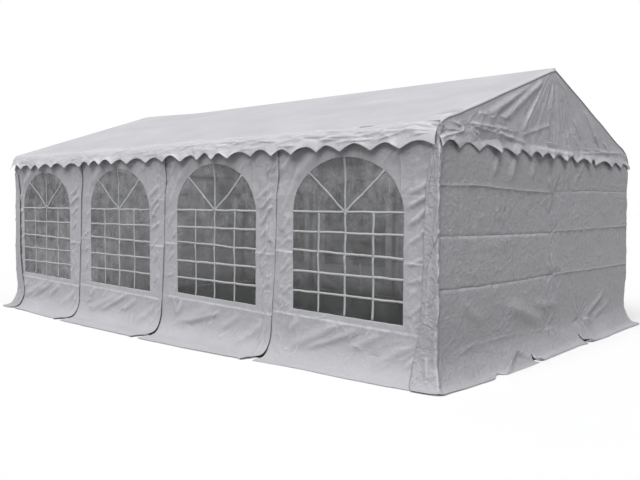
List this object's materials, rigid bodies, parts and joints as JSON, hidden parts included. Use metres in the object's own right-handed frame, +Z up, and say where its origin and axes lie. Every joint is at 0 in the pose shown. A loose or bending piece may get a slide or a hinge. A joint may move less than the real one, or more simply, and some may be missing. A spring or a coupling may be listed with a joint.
{
  "type": "frame party tent with window walls",
  "caption": "Rectangular frame party tent with a gable roof, scalloped valances, side walls with arched clear windows, plain end walls and a ground skirt.",
  "frame": {"origin": "on the ground under the middle of the ridge", "axes": "+X along the ridge, -Y out of the long side that the picture shows, +Z up"},
  "size_m": [8.46, 5.472, 3.28],
  "materials": {
    "roof_fabric": "pale grey coated tarpaulin, satin, nearly taut, lightly creased at its edges",
    "wall_fabric": "pale grey coated tarpaulin, satin, hanging with fold lines and soft wrinkles",
    "clear_film": "clear soft film, slightly hazy and wavy",
    "galvanised_tube": "galvanised steel tube"
  },
  "bodies": {
    "root": {"post_front_1": "galvanised_tube", "post_front_2": "galvanised_tube", "post_front_3": "galvanised_tube", "post_front_4": "galvanised_tube", "post_front_5": "galvanised_tube", "post_back_1": "galvanised_tube", "post_back_2": "galvanised_tube", "post_back_3": "galvanised_tube", "post_back_4": "galvanised_tube", "post_back_5": "galvanised_tube", "eave_rail_front": "galvanised_tube", "eave_rail_back": "galvanised_tube", "ridge_rail": "galvanised_tube", "rafter_front_1": "galvanised_tube", "rafter_front_2": "galvanised_tube", "rafter_front_3": "galvanised_tube", "rafter_front_4": "galvanised_tube", "rafter_front_5": "galvanised_tube", "rafter_back_1": "galvanised_tube", "rafter_back_2": "galvanised_tube", "rafter_back_3": "galvanised_tube", "rafter_back_4": "galvanised_tube", "rafter_back_5": "galvanised_tube", "end_bar_left": "galvanised_tube", "end_bar_right": "galvanised_tube", "roof_cover": "roof_fabric", "gable_left": "roof_fabric", "gable_right": "roof_fabric", "wall_front_1": "wall_fabric", "wall_front_2": "wall_fabric", "wall_front_3": "wall_fabric", "wall_front_4": "wall_fabric", "wall_back_1": "wall_fabric", "wall_back_2": "wall_fabric", "wall_back_3": "wall_fabric", "wall_back_4": "wall_fabric", "end_wall_left": "wall_fabric", "end_wall_right": "wall_fabric", "window_front_1": "clear_film", "window_front_2": "clear_film", "window_front_3": "clear_film", "window_front_4": "clear_film", "window_back_1": "clear_film", "window_back_2": "clear_film", "window_back_3": "clear_film", "window_back_4": "clear_film"}
  },
  "joints": []
}
